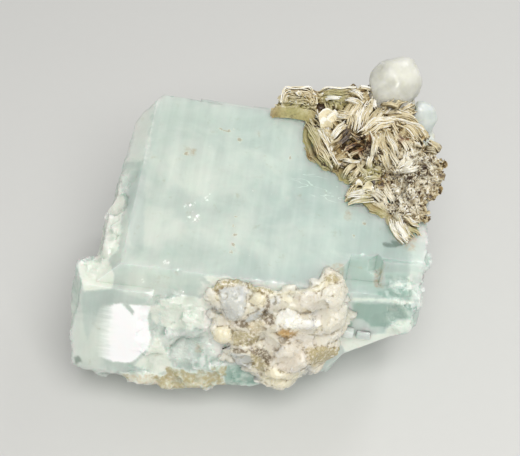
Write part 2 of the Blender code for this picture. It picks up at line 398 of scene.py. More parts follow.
# outlines of what shows on the front and top: along and down by turns, in tenths of a mm
berylPatches = {
    "deep": [
        (-11, 164, 2, 159, 20, 159, 23, 178, 6, 184, -8, 186),
        (105, 19, 140, 16, 142, 23, 135, 27, 136, 44, 113, 48, 108, 34),
        (145, 28, 172, 23, 170, 33, 150, 42),
    ],
    "teal": [
        (141, 56, 141, 49, 151, 45, 172, 41, 181, 43, 183, 50, 162, 54),
        (-15, 162, 2, 156, 20, 157, 26, 178, 6, 184, -13, 187),
        (117, 67, 153, 62, 184, 59, 186, 74, 170, 78, 159, 90, 143, 91, 133, 85, 119, 84),
        (109, 88, 121, 90, 122, 96, 112, 95),
    ],
    # painted shade: a dark strip along the mica's lower edge stands for its shadow, and a small pit at the lower left
    # is darkened
    "dark": [
        (140, -5, 150, -6, 149, -9, 162, -10, 161, -6, 150, -2, 142, -1),
        (-187, 179, -182, 176, -179, 182, -185, 186),
    ],
    "grey": [
        (165, -6, 178, -15, 194, -11, 198, 7, 193, 25, 173, 20),
        (177, 27, 193, 25, 201, 37, 200, 50, 186, 56, 178, 44),
        (184, 60, 195, 58, 197, 75, 188, 79),
        (141, 0, 160, -7, 171, -2, 174, 11, 173, 22, 145, 27),
        (-183, 101, -150, 91, -108, 98, -109, 102, -134, 105, -161, 111, -165, 127, -173, 155, -178, 144),
        (-159, -41, -139, -48, -122, 45, -137, 39, -155, -8),
        (-21, 143, 13, 139, 20, 156, -16, 161),
        (-135, 107, -131, 106, -121, 115, -125, 118),
    ],
    "cream": [
        (-193, 69, -161, 58, -150, 74, -151, 90, -181, 98),
        (-167, -23, -158, -8, -153, 26, -151, 48, -162, 63, -178, 68, -179, 30, -179, -5),
        (-107, 104, -96, 100, -95, 130, -99, 149, -111, 167, -118, 178, -90, 184, -74, 172, -85, 154, -95, 139, -93,
            130, -104, 118),
        (159, 92, 171, 79, 188, 75, 191, 88, 176, 95, 164, 97),
        (-97, 95, -70, 86, -39, 86, -41, 112, -59, 124, -80, 126, -93, 125),
        (113, 62, 141, 57, 185, 54, 186, 58, 142, 61, 113, 65),
        (153, 42, 164, 36, 177, 35, 177, 37, 165, 40, 153, 44),
        (-133, 188, -99, 183, -76, 187, -64, 208, -97, 205, -126, 200),
        (107, 111, 124, 106, 175, 93, 175, 107, 120, 126),
        (-54, 60, -28, 57, -15, 58, -20, 66, -35, 70, -44, 68),
    ],
    "tan": [
        (-133, 191, -99, 186, -75, 189, -72, 198, -97, 203, -126, 199),
        (-98, 190, -69, 181, -15, 172, -10, 189, -50, 201, -86, 204),
        (135, 29, 143, 21, 149, 45, 138, 46),
        (-51, 142, -44, 140, -44, 149, -51, 152),
        (93, -36, 101, -35, 100, -23, 93, -26),
        (-100, -78, -86, -79, -86, -72, -98, -72),
        (89, 19, 99, 23, 100, 39, 91, 47, 86, 33),
        (167, -17, 178, -19, 173, -2, 163, -3),
    ],
    "stained": [
        (-96, 189, -69, 182, -15, 173, -11, 189, -50, 200, -88, 203),
        (-83, 173, -66, 173, -53, 178, -66, 188, -78, 185),
        (-32, 163, -14, 163, -10, 174, -29, 173),
        (-74, 178, -62, 178, -42, 172, -16, 171, -15, 182, -35, 190, -58, 192, -73, 191),
        (-134, 190, -122, 187, -123, 196, -134, 198),
        (-98, 199, -85, 194, -88, 203, -97, 204),
    ],
    # painted light: faces that the lamps leave darker, such as the left bevel, are lightened
    "paintedLight": [
        (166, -29, 185, -36, 194, -8, 200, 50, 197, 62, 181, 55, 173, 43, 173, 13),
        (-55, 68, -7, 56, 54, 55, 97, 35, 109, 55, 118, 99, 107, 123, -29, 154, -43, 134),
        (-141, -133, -145, -108, -142, -69, -144, -54, -152, -54, -168, -54, -166, -92, -156, -120),
    ],
    # painted highlight: a white gleam of light off an inner fracture, laid on as a light tone
    "paintedGleam": [
        (-168, 160, -170, 121, -157, 112, -139, 106, -124, 118, -123, 112, -129, 106, -107, 104, -108, 111, -109, 120,
            -105, 133, -103, 141, -105, 154, -113, 165, -122, 174, -143, 177, -160, 173),
    ],
}
# small things near a place: (along, forward, out, radius)
berylTints = {
    "dense": [
        (-7.4, 4.1, 0, 1.5), (-8.2, 2.6, 0, 1.2), (-6.4, 1.3, 0, 0.8), (-9.5, 10.3, 0, 0.7), (-11.8, 12.2, -1.7, 0.6),
        (-7.4, 12.4, -2.4, 0.9), (-2.8, 6.7, 0, 0.4), (-9.3, -5, 0, 0.4), (-1.4, -0.6, 0, 0.4), (2.6, -0.2, 0, 0.4),
        (3.8, -0.4, 0, 0.4), (-7.1, -5.7, 0, 0.4),
    ],
    "crack": [
        (4.1, -3, 0, 1.6), (5.9, -2.5, 0, 1.8), (7.7, -2, 0, 1.8), (9.1, -2, 0, 1),
    ],
    "speck": [
        (-6.4, -8.2, 0, 0.4), (-5.9, -8, 0, 0.35), (-5.3, -8.1, 0, 0.45), (-4.8, -8.5, 0, 0.3), (-3.9, -7.1, 0, 0.6),
        (-9.7, -4.1, 0, 0.6), (2.2, -5.7, 0, 0.45), (-2.8, 3.3, 0, 0.4), (-3, 4.5, 0, 0.4), (-2.6, 5.6, 0, 0.5),
        (-2.6, 6.9, 0, 0.5), (-2.7, 7.8, 0, 0.45), (11.6, 1.5, 0, 0.5), (10.6, 3.4, 0, 0.4),
    ],
}
# small blocks that stand out of the lower face: (along, down, out), sides, and how much painted gleam whitens them
berylBlocks = [((11.8, 5.7, -2.7), (1.2, 0.9, 1.0), 0.5), ((13.6, 6.0, -3.0), (1.6, 0.7, 0.9), 0.1)]


def addBlocks(bm, rng):
    turned = Matrix((cAxis, facing(frontFace[0] + 90), facing(frontFace[0]))).transposed().to_4x4()
    for place, sides, light in berylBlocks:
        spot = Matrix.Translation(onFace(*frontFace, *place))
        block = bmesh.ops.create_cube(bm, size=1, matrix=spot @ turned @ Matrix.Diagonal((*sides, 1)))["verts"]
        for vert in block:
            vert.co += Vector(rng.uniform(-0.12, 0.12) for _ in range(3))
            for name, value in (("paintedGleam", light), ("inner", light), ("teal", 0.5)):
                vert[bm.verts.layers.float[name]] = value
        edges = {edge for vert in block for edge in vert.link_edges}
        bmesh.ops.bevel(bm, geom=list(edges), offset=0.1, segments=2, profile=0.5, affect="EDGES", material=-1)


def shapeBeryl():
    rng = random.Random(3)
    bm = modified(cadCopy("aquamarine"), "REMESH", {
        "mode": "SHARP", "octree_depth": beryl["detail"], "scale": beryl["fill"], "sharpness": 1.0})
    start, ways, pairs = spots(bm), normals(bm), joined(bm)
    # the step at the thick part's end becomes a slope
    along, forward = reach(start, cAxis), reach(start, facing(100))
    inward = frontFace[1] - reach(start, facing(frontFace[0]))
    slope = 3.2 * ramp(inward, 0.2, 4.4) * ramp(forward, 1.5, 4.5)
    slope = slope * np.clip(1 - (along - 7.3) / 4.5, 0, 1) * (along > 7.2)
    places = start + slope[:, None] * np.array(cAxis)
    # the lumps at the right end lie back against the faces
    for turn, far, since in beryl["lieBack"]:
        over = np.maximum(reach(start, facing(turn)) - far, 0) * ramp(along, 14.6, 15.2) * (forward > since)
        places = places - 0.95 * over[:, None] * np.array(facing(turn))
    broken = np.zeros(len(places))
    for turn, distance, across, down, radius in brokenSpots:
        broken = np.maximum(broken, blob(places, onFace(turn, distance, across, down), radius, 0.4))
    leftward = ramp(-ways @ np.array(cAxis), 0.35, 0.6) * ramp(-ways @ np.array(cUp), -0.75, -0.2)
    rightward = ramp(ways @ np.array(cAxis), 0.4, 0.7) * ramp(along, 15, 16.5)
    below = ramp(-ways[:, 2], 0.3, 0.8)
    roughness = np.maximum.reduce([broken, 0.5 * leftward, 0.65 * rightward, 0.3 * below])
    # lumps in the broken part run together
    places = eased(places, pairs, 24, broken)
    moveTo(bm, places)
    # then it breaks into facets, large and small
    push = waves(places, 6, 1) * 0.03
    rough = np.nonzero(roughness > 0.02)[0]
    facets = 0.1 + 0.62 * planes(places[rough], 2.6, 2) + 0.4 * planes(places[rough], 1.0, 3)
    push[rough] += roughness[rough] * facets
    flat = places[:, 2] < 0.25
    push = np.where(flat, np.minimum(push, 0) * 0.3, push)
    places = places + normals(bm) * push[:, None]
    moveTo(bm, places)
    deep = np.nonzero((roughness > 0.45) & ~flat)[0]
    places = chipped(bm, places, deep, *beryl["brokenChips"], rng)
    ridges = np.nonzero((hollows(bm, places, pairs, 4) < -0.05) & ~flat)[0]
    places = chipped(bm, places, ridges, *beryl["edgeChips"], rng)
    places[:, 2] = np.maximum(places[:, 2], 0)
    moveTo(bm, places)
    hollow = hollows(bm, places, pairs, 4) / 0.12
    mark(bm, broken=roughness, ridge=np.clip(-hollow, 0, 1), hollow=np.clip(hollow, 0, 1), side=leftward)
    seen = ramp(normals(bm) @ np.array(shown), -0.1, 0.25)
    for name, listed in berylPatches.items():
        wide = beryl["outlineEdge"].get(name, 0.45)
        mark(bm, **{name: ramp(outlined(places, listed), -wide, wide) * seen})
    for name, listed in berylTints.items():
        mark(bm, **{name: tinted(places, listed, 0.2)})
    along = reach(places, cAxis)
    # inner: the painted gleam fades out towards the left end
    mark(bm, pale=ramp(along, 8, -12), inner=ramp(along, -17.5, -12.5))
    addBlocks(bm, rng)
    return bm


def berylFinish():
    made = Finish("beryl")
    broken, ridge, hollow, side, inner, pale = made.attributes("broken", "ridge", "hollow", "side", "inner", "pale")
    dense, crack, speck = made.attributes(*berylTints)
    cloud = made.noise(5, 4, 0.55, 0.4, made.stretched(1.3, 1, 1))
    patches = made.noise(1.6, 4, 0.6, 0.5)
    bands = made.noise(1, 3, 0.6, 0, made.stretched(1.4, 12, 12))
    lines = made.noise(1, 3, 0.6, 0, made.stretched(0.22, 6, 6))
    streaks = made.noise(1, 4, 0.65, 0.3, made.stretched(2.4, 0.5, 0.4))
    fine = made.noise(0.5, 4, 0.6)
    crumbs = made.noise(0.35, 3, 0.6, 0.6)
    # every outline frays a little
    edge = (patches - 0.5) * 0.9 + (fine - 0.5) * 0.5
    deep, teal, dark, grey, cream, tan, stained, paintedLight, paintedGleam = (
        made.between(part + edge, 0.2, 0.8) for part in made.attributes(*berylPatches))
    # the painted gleam, fading to the left and broken into streaks
    paintedGleamShare = paintedGleam * made.between(inner * 1.2 + (streaks - 0.5) * 0.5, 0.05, 1.05)
    flake = made.grains(0.27, "Color", made.mix(0.12, made.place, made.noise(0.8, 2)))
    flecks = made.between(dense * 0.5 + flake, 0.98, 1.4).most(made.between(fine + broken * 0.02, 0.74, 0.78) * 0.7)
    # frost on the broken part, and whiter ridges: partly chipped frost, partly a painted highlight where edges catch
    # light
    frostAndRidgeHighlight = broken * made.between(patches, 0.4, 0.7) * 0.45
    frostAndRidgeHighlight = frostAndRidgeHighlight.most(ridge * made.between(fine, 0.4, 0.6) * (broken * 0.6 + 0.12))
    specks = made.between(speck + (crumbs - 0.5) * 1.8, 0.45, 0.9) * 0.7
    wavy = (made.noise(1, 2, 0.5, 0.3, made.stretched(4, 1, 1)) - 0.5) ** 2
    cracks = crack * made.between(wavy * 3000, 0.7, 0.1)
    stains = made.between(stained + (patches - 0.5) * 2 + (fine - 0.5) * 1.6, 0.2, 1.5) * 0.9
    bluer = (made.between(cloud, 0.35, 0.7) * 0.5 + pale * 0.6).clamp()
    colour = made.layered(
        made.mix(bluer, beryl["blueColor"], beryl["paleColor"]),
        ((bands * 0.25 + dense * 0.3).clamp(), beryl["frostAndPaintedLightColor"]),
        (broken * made.between(patches, 0.6, 0.35) * 0.3, beryl["greyColor"]),
        # painted light: the faces that the lamps leave darker are lightened towards frost white
        (paintedLight * 0.65, beryl["frostAndPaintedLightColor"]),
        (grey * 0.5, beryl["greyColor"]),
        (deep * (cloud * 0.4 + 0.4), beryl["deepColor"]),
        (teal * (cloud * 0.4 + 0.62), beryl["tealColor"]),
        (frostAndRidgeHighlight.most(cream * 0.5), made.mix(cream, beryl["frostAndPaintedLightColor"], beryl["creamColor"])),
        (tan * made.between(fine, 0.3, 0.65) * 0.8, beryl["tanColor"]),
        (side * made.between(lines, 0.5, 0.35) * 0.4, beryl["deepColor"]),
        # painted shade from the dark outlines
        (dark * 0.6, beryl["darkColor"]),
        (stains, beryl["stainColor"]),
        (specks + cracks * 0.35, made.mix(cracks, beryl["speckColor"], beryl["darkColor"])),
        # painted shade: hollows in the broken part are darkened towards deep teal
        (broken * hollow * 0.35, beryl["deepColor"]),
        # last the painted gleam, and white flecks in the same white
        (paintedGleamShare.most(flecks * 0.75), beryl["gleamAndFleckColor"]))
    # how much of it is milky
    milk = made.between(cloud, 0.25, 0.75) * 0.15 + bands * 0.2 + 0.5
    milk = milk + frostAndRidgeHighlight * 0.3 + cream * 0.3 + deep * 0.25 + teal * 0.25 - dark * 0.1
    milk = (milk + paintedLight * 0.2 + paintedGleamShare * 0.5 + flecks * 0.4 + specks + stained * 0.4 + cracks).clamp()
    bumps = made.bump(fine * (broken * 2.5 + 0.15) + lines * side, 0.06)
    clear = made.clear(beryl["clearColor"], broken * 0.2 + 0.1, beryl["ior"], bumps)
    milky = made.milky(colour, 0.25, beryl["ior"], bumps, 1.0, (1.0, 1.3, 1.2), 1.4)
    inside = made.node("ShaderNodeVolumeAbsorption", {}, {"Color": beryl["absorbColor"], "Density": beryl["absorb"]})
    return made.output(made.blend(milk, clear, milky), Volume=inside)


aquamarine = finish(shapeBeryl(), "aquamarine_crystal", berylFinish(), sharp=20)
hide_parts("aquamarine")

# muscovite: a ground of facets, books of plates laid one by one or scattered, and fine flakes

mica = {
    "voxel": 0.19,
    "thickness": 0.10,  # of one plate
    "pitch": 0.10,
    "stand": (34, 0),  # which way a book stands, unless its row says another
    "tries": 40000,
    "coarseEnd": 17.4,  # along c; no scattered books past it
    "coarse": {  # the books scattered on the left and top
        "count": 150, "apart": 0.9, "clear": 1, "swing": 26, "loose": 0.25,
        "length": (1.0, 2.6), "lift": (0.1, 0.45), "plates": (4, 8), "width": (0.6, 1.0)},
    "fine": {  # the flakes on the right
        "count": 900, "apart": 0.3, "clear": 0.6, "swing": 55, "loose": 0.6,
        "length": (0.4, 0.9), "lift": (0.0, 0.22), "plates": (1, 3), "width": (0.3, 0.5)},
    "ior": 1.58,
    "darkColor": (0.060, 0.034, 0.016),
    "tanColor": (0.31, 0.22, 0.09),
    "creamColor": (0.68, 0.59, 0.38),
    "whiteColor": (0.90, 0.88, 0.80),
    "oliveColor": (0.42, 0.38, 0.16),
    "greenCream": (0.56, 0.52, 0.31),
    "greyColor": (0.44, 0.38, 0.26),
    "greyCream": (0.80, 0.76, 0.63),
    "rustColor": (0.26, 0.11, 0.04),
}
# which way the plates' edges run near a place: (along, forward) on the top face, degrees from c to the front
micaWays = [
    (8.5, -8, -40), (8.5, -4, -50), (11.5, -8, 85), (13.5, -6.5, 60), (15, -9, 35), (17, -9.5, 15), (16.5, -6, -40),
    (19, -7, 70), (13, -3.5, 60), (15, -1.5, 100), (16.5, 1.5, 60), (10.5, -13, -65), (14, -13, -80), (7.5, -10.5, 60),
    (6, -7, 55),
]
# where it is olive, grey or rusty, and where painted shade darkens it: (along, forward, out, radius)
micaTints = {
    "olive": [
        (2, -11.5, 0.5, 3.4), (4.2, -8.5, 0.6, 2.6), (6, -4.8, 0.7, 2), (8.6, -3.4, 0.6, 1.8), (10.8, -1, 0.8, 2.2),
        (11.7, -4, 1.8, 2), (13.4, 0.4, 0.6, 1.5), (14.8, 1.8, 0.5, 1.2), (6.4, -13.4, 2.4, 2.6), (17, 2.1, 1, 1.2),
    ],
    "grey": [
        (16.6, -5, 2.5, 4.4), (15.6, -1.2, 1.6, 3.6), (12.7, -1.5, 1.4, 1.4), (11.2, -6.2, 3, 1.6),
    ],
    # painted shade: dark spots among the books, such as the shadow under a white blade
    "shadeAndDirt": [
        (9, -7.6, 2.4, 1.8), (10.4, -6.6, 3, 1.6), (8.2, -8.4, 2.6, 1.2), (10.6, -9.6, 3.2, 1),
        (12.6, -11.4, 3.6, 0.8), (14.6, -8.2, 3.8, 0.9), (13, -3.4, 2.6, 1.2), (17.6, -5, 2.4, 1.2), (7, -9.9, 2, 0.6),
        (16, -3.6, 2.4, 1), (11.6, -2.8, 1.6, 0.8),
    ],
    "rust": [
        (9.4, -7.2, 2.4, 2.2), (11.2, -7.7, 3.4, 1.5), (14.9, -8, 3.8, 1.2), (13.4, -3.4, 2.4, 1.4),
    ],
}
# no scattered books here: (along, forward, out, radius)
micaBare = [
    (1, -12.6, 1.6, 2.4), (3.4, -12.8, 1.8, 2.2), (5.6, -13.4, 2.8, 1.6), (7.4, -13.4, 3.3, 1.9),
    (4.6, -6.8, 0.8, 1.2), (5.9, -5, 0.8, 1.2), (7.7, -14.8, 3.1, 1.4),
]
# books laid one by one: along, forward and out for three points on the free edge, in tenths of a mm,
# then plates, width and tone, and for some which way they stand: turn and lean
micaBooks = [
    (35, -110, 9, 49, -80, 15, 70, -48, 16, 4, 1.3, 0.86), (39, -112, 9, 57, -82, 18, 74, -51, 18, 4, 1.3, 1),
    (44, -113, 9, 59, -89, 19, 70, -67, 23, 2, 1, 0.85), (47, -119, 16, 52, -109, 13, 58, -93, 19, 4, 1, 1.15),
    (52, -121, 20, 60, -118, 19, 68, -106, 25, 4, 1, 1.2), (57, -118, 14, 60, -106, 17, 62, -94, 21, 3, 1, 1.15),
    (61, -76, 20, 71, -85, 28, 81, -101, 28, 4, 1, 1.15), (66, -67, 22, 76, -78, 29, 85, -97, 28, 2, 0.9, 0.55),
    (71, -61, 21, 80, -74, 28, 90, -93, 29, 2, 0.9, 0.35), (66, -105, 22, 73, -106, 29, 82, -106, 29, 3, 0.9, 0.9),
    (68, -113, 27, 76, -113, 28, 86, -107, 31, 3, 0.9, 0.85), (85, -93, 28, 87, -113, 31, 92, -125, 40, 4, 1.3, 0.85),
    (92, -90, 31, 94, -114, 32, 100, -128, 42, 4, 1.3, 1.05), (99, -92, 31, 102, -113, 33, 109, -129, 39, 4, 1.3, 0.9),
    (77, -107, 28, 81, -120, 29, 89, -124, 38, 3, 1, 0.9), (103, -98, 28, 113, -113, 31, 122, -130, 33, 4, 1.2, 0.8),
    (110, -98, 37, 121, -116, 33, 129, -132, 34, 3, 1.2, 0.95),
    (124, -119, 33, 142, -123, 34, 163, -120, 28, 4, 1.4, 1.02),
    (130, -131, 33, 143, -131, 33, 157, -129, 30, 3, 1.2, 0.85),
    (123, -109, 36, 140, -114, 37, 157, -116, 27, 2, 1, 0.6), (98, -80, 37, 119, -100, 40, 143, -108, 37, 4, 1.4, 1),
    (102, -75, 37, 122, -93, 41, 145, -101, 37, 3, 1.2, 0.9),
    (138, -106, 39, 158, -109, 27, 172, -92, 34, 4, 1.4, 1.05),
    (142, -100, 38, 156, -96, 33, 166, -80, 39, 4, 1.3, 0.95),
    (148, -111, 34, 164, -116, 21, 175, -97, 33, 3, 1.2, 0.9), (111, -86, 39, 114, -68, 43, 114, -53, 36, 4, 1, 0.95),
    (118, -89, 41, 123, -70, 44, 130, -59, 37, 4, 1, 0.85), (126, -87, 42, 134, -68, 46, 142, -59, 35, 4, 1, 1),
    (135, -87, 44, 145, -78, 40, 153, -69, 37, 3, 1, 0.9), (145, -87, 40, 152, -79, 38, 159, -73, 40, 3, 1, 0.8),
    (113, -54, 35, 113, -47, 30, 117, -41, 21, 3, 0.9, 0.95), (122, -62, 40, 129, -54, 35, 137, -46, 29, 4, 0.9, 0.95),
    (129, -66, 41, 137, -58, 35, 144, -47, 31, 3, 0.9, 0.9), (154, -68, 36, 150, -57, 32, 145, -45, 30, 4, 0.9, 1),
    (167, -64, 30, 157, -52, 33, 147, -44, 30, 3, 0.9, 0.95), (170, -52, 32, 159, -44, 33, 150, -42, 29, 3, 0.9, 0.9),
    (80, -51, 19, 90, -51, 22, 102, -52, 22, 2, 0.8, 1.05), (86, -35, 11, 91, -44, 16, 100, -50, 20, 3, 0.8, 0.9),
    (91, -31, 11, 97, -40, 14, 104, -48, 22, 3, 0.8, 0.85), (96, -32, 12, 100, -43, 16, 106, -52, 24, 2, 0.8, 0.7),
    (100, -54, 22, 105, -45, 20, 112, -35, 19, 3, 0.8, 0.8), (84, -61, 24, 90, -72, 21, 99, -75, 30, 2, 0.8, 0.8),
    (89, -57, 23, 97, -67, 21, 105, -65, 30, 2, 0.8, 0.85), (91, -8, 7, 102, -15, 13, 117, -19, 17, 4, 0.9, 1.2),
    (95, -4, 7, 106, -8, 10, 120, -12, 15, 3, 0.8, 0.85), (104, -37, 16, 110, -41, 19, 118, -43, 23, 3, 0.8, 0.95),
    (109, -28, 17, 116, -33, 20, 126, -33, 24, 3, 0.8, 0.9), (118, -18, 17, 126, -13, 16, 135, -10, 9, 4, 0.8, 0.75),
    (124, -24, 16, 132, -16, 13, 141, -7, 9, 4, 1, 0.8), (131, -29, 19, 139, -21, 16, 148, -11, 12, 4, 1, 0.9),
    (120, -14, 9, 129, -7, 8, 140, 0, 7, 3, 0.8, 0.75), (145, 11, 13, 152, 22, 8, 163, 34, 7, 4, 1, 1.15),
    (149, 7, 19, 159, 18, 17, 170, 29, 10, 3, 1, 1), (163, 21, 14, 171, 21, 13, 180, 24, 9, 2, 0.7, 0.5),
    (159, 14, 26, 168, 15, 21, 178, 15, 13, 3, 0.8, 1), (178, -89, 31, 186, -85, 31, 192, -82, 28, 3, 0.9, 0.95),
    (177, -79, 30, 183, -77, 30, 190, -79, 24, 3, 0.9, 0.85),
    (33, -111, 3, 36, -81, 3, 49, -56, 3, 3, 1.7, 0.5, 45, -45),
    (46, -59, 3, 62, -49, 3, 79, -44, 3, 3, 1.6, 0.5, 75, -35),
    (76, -46, 3, 86, -38, 3, 96, -31, 3, 3, 1.5, 0.5, 80, -25),
    (111, -8, 3, 126, 1, 3, 140, 6, 3, 3, 1.2, 0.5, 85, -30),
    (137, 5, 3, 146, 14, 3, 153, 24, 3, 3, 1.2, 0.6, 70, -50), (40, -96, 10, 50, -68, 15, 63, -49, 16, 3, 0.9, 0.6),
    (75, -130, 35, 83, -125, 37, 94, -120, 37, 3, 0.8, 1.1), (76, -141, 34, 84, -134, 42, 94, -128, 42, 3, 0.8, 1.05),
    (88, -140, 40, 95, -141, 44, 104, -139, 46, 2, 0.8, 1.1),
    (-6, -119, 9, 18, -120, 12, 45, -119, 10, 3, 1.3, 0.6, -30, 0),
    (47, -131, 27, 64, -133, 32, 84, -134, 35, 7, 1.6, 0.5, 41, 0),
    (46, -138, 31, 64, -141, 37, 86, -141, 40, 1, 1.2, 1.3, 41, 0),
    (52, -127, 29, 60, -129, 33, 69, -129, 34, 2, 0.8, 1.4, 41, 0),
    (47, -113, 22, 54, -117, 24, 62, -116, 25, 2, 1.2, 1.25, -50, -20),
    (56, -108, 23, 63, -113, 26, 70, -112, 28, 2, 1.1, 1.25, -40, 25),
    (50, -100, 20, 56, -104, 22, 63, -103, 23, 2, 1, 1.2, -45, 10),
    (100, -29, 16, 104, -31, 17, 109, -30, 16, 2, 0.6, 1.3, -40, 0),
    (109, -25, 19, 115, -27, 20, 121, -24, 19, 2, 0.7, 1.3, -40, 10),
    (149, 16, 12, 155, 24, 11, 162, 34, 8, 2, 0.9, 1.2, 100, -40),
    (114, -120, 32, 110, -126, 36, 108, -131, 44, 3, 1.2, 1.1),
    (119, -118, 33, 121, -124, 39, 127, -124, 50, 3, 1.3, 0.95),
    (130, -121, 36, 135, -123, 44, 141, -125, 49, 3, 1.3, 0.85),
    (140, -123, 34, 148, -129, 37, 154, -134, 40, 3, 1.2, 1), (121, -122, 45, 131, -121, 46, 142, -125, 38, 2, 1, 0.7),
]


def sheet(bm, path, rise, face, width, tone, root, seed, number, fan, rng):
    # one thin plate under a curved free edge, ragged where it ends
    tones = bm.verts.layers.float["tone"]
    start, end = rng.uniform(-1.15, -0.7), rng.uniform(0.7, 1.15)
    length = (path(1) - path(-1)).length
    steps = max(3, min(12, int(length / 0.4)))
    fall = 0.2 if root > 0.3 else 0.9
    drop = rng.uniform(0.1, fall), rng.uniform(0.1, fall)  # how far the free edge falls towards each end
    offset = mica["pitch"] * number
    made = bmesh.ops.create_grid(bm, x_segments=steps, y_segments=2, size=1)["verts"]
    for vert in made:
        t, across = vert.co.y * 0.5 + 0.5, vert.co.x
        s = start + (end - start) * (across * 0.5 + 0.5)
        broad = noise.noise(Vector((s * 0.5 * length, t, seed)))
        side = noise.noise(Vector((s * 0.4 * length, t * 1.5, seed + 50)))
        own = noise.noise(Vector((s * length * 0.9, t * 1.6, seed + number * 1.3)))
        lift = (t - 1) * width + (broad * 0.35 + own * 0.26) * t - width * t * drop[across > 0] * across ** 4
        vert.co = path(s) + rise * lift + face * (offset * (1 + fan * s) + side * 0.35 + own * 0.05)
        # painted light: the tone is low at the foot, for shade between the plates, and rises to the free edge, where it
        # paints a highlight; it also differs from plate to plate at random
        vert[tones] = tone * (root + (0.95 - root) * t ** 1.5) * (1 + own * 0.5)


def book(bm, start, bow, end, rise, plates, width, tone, rng, root=0.05):
    # plates side by side, a little out of step
    along = (end - start).normalized()
    rise = (rise - along * rise.dot(along)).normalized()
    face = along.cross(rise)
    seed, fan = rng.uniform(0, 500), rng.uniform(-0.4, 0.4)
    for number in range(plates):
        shift = rise * rng.gauss(0, 0.08)

        def path(s):
            return start * (s * s - s) / 2 + bow * (1 - s * s) + end * (s * s + s) / 2 + shift

        own = tone * rng.uniform(0.7, 1.08)
        sheet(bm, path, rise, face, width, own, root, seed, number - (plates - 1) / 2, fan, rng)


def barrel(bm, centre, along, rise, shells, span, height, depth, rng):
    # a rolled stack: flat arches one inside another, seen end on
    tones = bm.verts.layers.float["tone"]
    face = along.cross(rise)
    wave = rng.uniform(0, 90)
    for number in range(shells):
        size = (number + 0.6) / (shells - 0.4)
        deep = depth * rng.uniform(0.7, 1.0)
        made = bmesh.ops.create_grid(bm, x_segments=16, y_segments=3, size=1)["verts"]
        tone = rng.uniform(0.3, 0.85) if number < shells - 3 else 0.95
        for vert in made:
            x, y = vert.co.x, vert.co.y
            angle = x * math.pi * (0.5 if x < 0 else 0.4)
            shared = noise.noise(Vector((x * 2.2, 0, wave)))
            own = noise.noise(Vector((x * 4, y, wave + number * 0.6)))
            out = math.copysign(abs(math.sin(angle)) ** 0.6, angle) * span * (0.55 + 0.45 * size) / 2
            up = abs(math.cos(angle)) ** 0.55 * height * size - 0.3 * height * size * max(0.0, x) ** 2
            vert[tones] = tone * (1 + 0.8 * own)
            vert.co = centre + along * (out + own * 0.15) + rise * (up + shared * 0.35 * size + own * 0.2) + face * (
                y * deep / 2 * (1 + 0.3 * own))


def shapeMicaCore():
    bm = remeshed(cadCopy("muscovite"), mica["voxel"])
    places, pairs = spots(bm), joined(bm)
    places = eased(places, pairs, 6)
    moveTo(bm, places)
    coarse = 1 - tinted(places, micaTints["grey"], 0.3)
    facets = planes(places, 1.3, 5) * 0.8, planes(places, 0.55, 6) * 0.7
    push = waves(places, 1.7, 5, 3) * 0.35 + facets[0] + facets[1] - 0.25 * coarse - 0.1
    places = places + normals(bm) * push[:, None]
    moveTo(bm, places)
    # painted shade: the ground is darker in its hollows
    tone = 0.70 - hollows(bm, places, pairs, 10) * 3.4 + waves(places, 0.5, 7) * 0.25 - 0.38 * coarse
    mark(bm, tone=np.clip(tone, 0.02, 1.0))
    return bm


def scatter(core, pieces, laid, rng):
    # books and flakes on the ground, clear of one another and of what is laid
    greys = [(onTop(*spot), radius) for *spot, radius in micaTints["grey"]]
    kept = {"coarse": [], "fine": []}
    for face in rng.choices([face for face in core.faces if face.normal.z > -0.4], k=mica["tries"]):
        hit = face.calc_center_median()
        kind = "fine" if any((hit - spot).length < radius for spot, radius in greys) else "coarse"
        like, others = mica[kind], kept[kind]
        along, forward = (hit - middle).dot(cAxis), (hit - middle).dot(facing(100))
        if len(others) >= like["count"] or kind == "coarse" and along > mica["coarseEnd"]:
            continue
        if any((hit - other).length < like["apart"] for other in others):
            continue
        if any((hit - spot).length < radius * like["clear"] for spot, radius in laid):
            continue
        others.append(hit)
        nearest = min(micaWays, key=lambda way: (way[0] - along) ** 2 + (way[1] - forward) ** 2)
        heading = math.radians(nearest[2]) + math.radians(rng.gauss(0, like["swing"]))
        loose = Vector([rng.gauss(0, like["loose"]) for _ in range(3)])
        rise = (face.normal * 0.8 + facing(34) * 0.35 + loose).normalized()
        run = cAxis * math.cos(heading) + facing(100) * math.sin(heading)
        run = (run - rise * run.dot(rise)).normalized()
        length = rng.uniform(*like["length"])
        tip = hit + rise * rng.uniform(*like["lift"])
        bow = tip + run.cross(rise) * rng.gauss(0, 0.12) * length + rise * rng.uniform(0, 0.1) * length
        plates, width, tone = rng.randint(*like["plates"]), rng.uniform(*like["width"]), rng.uniform(0.45, 1.0)
        book(pieces[kind], tip - run * length / 2, bow, tip + run * length / 2, rise, plates, width, tone, rng)
    print("mica books:", len(micaBooks), "by hand,", len(kept["coarse"]), "coarse,", len(kept["fine"]), "fine")


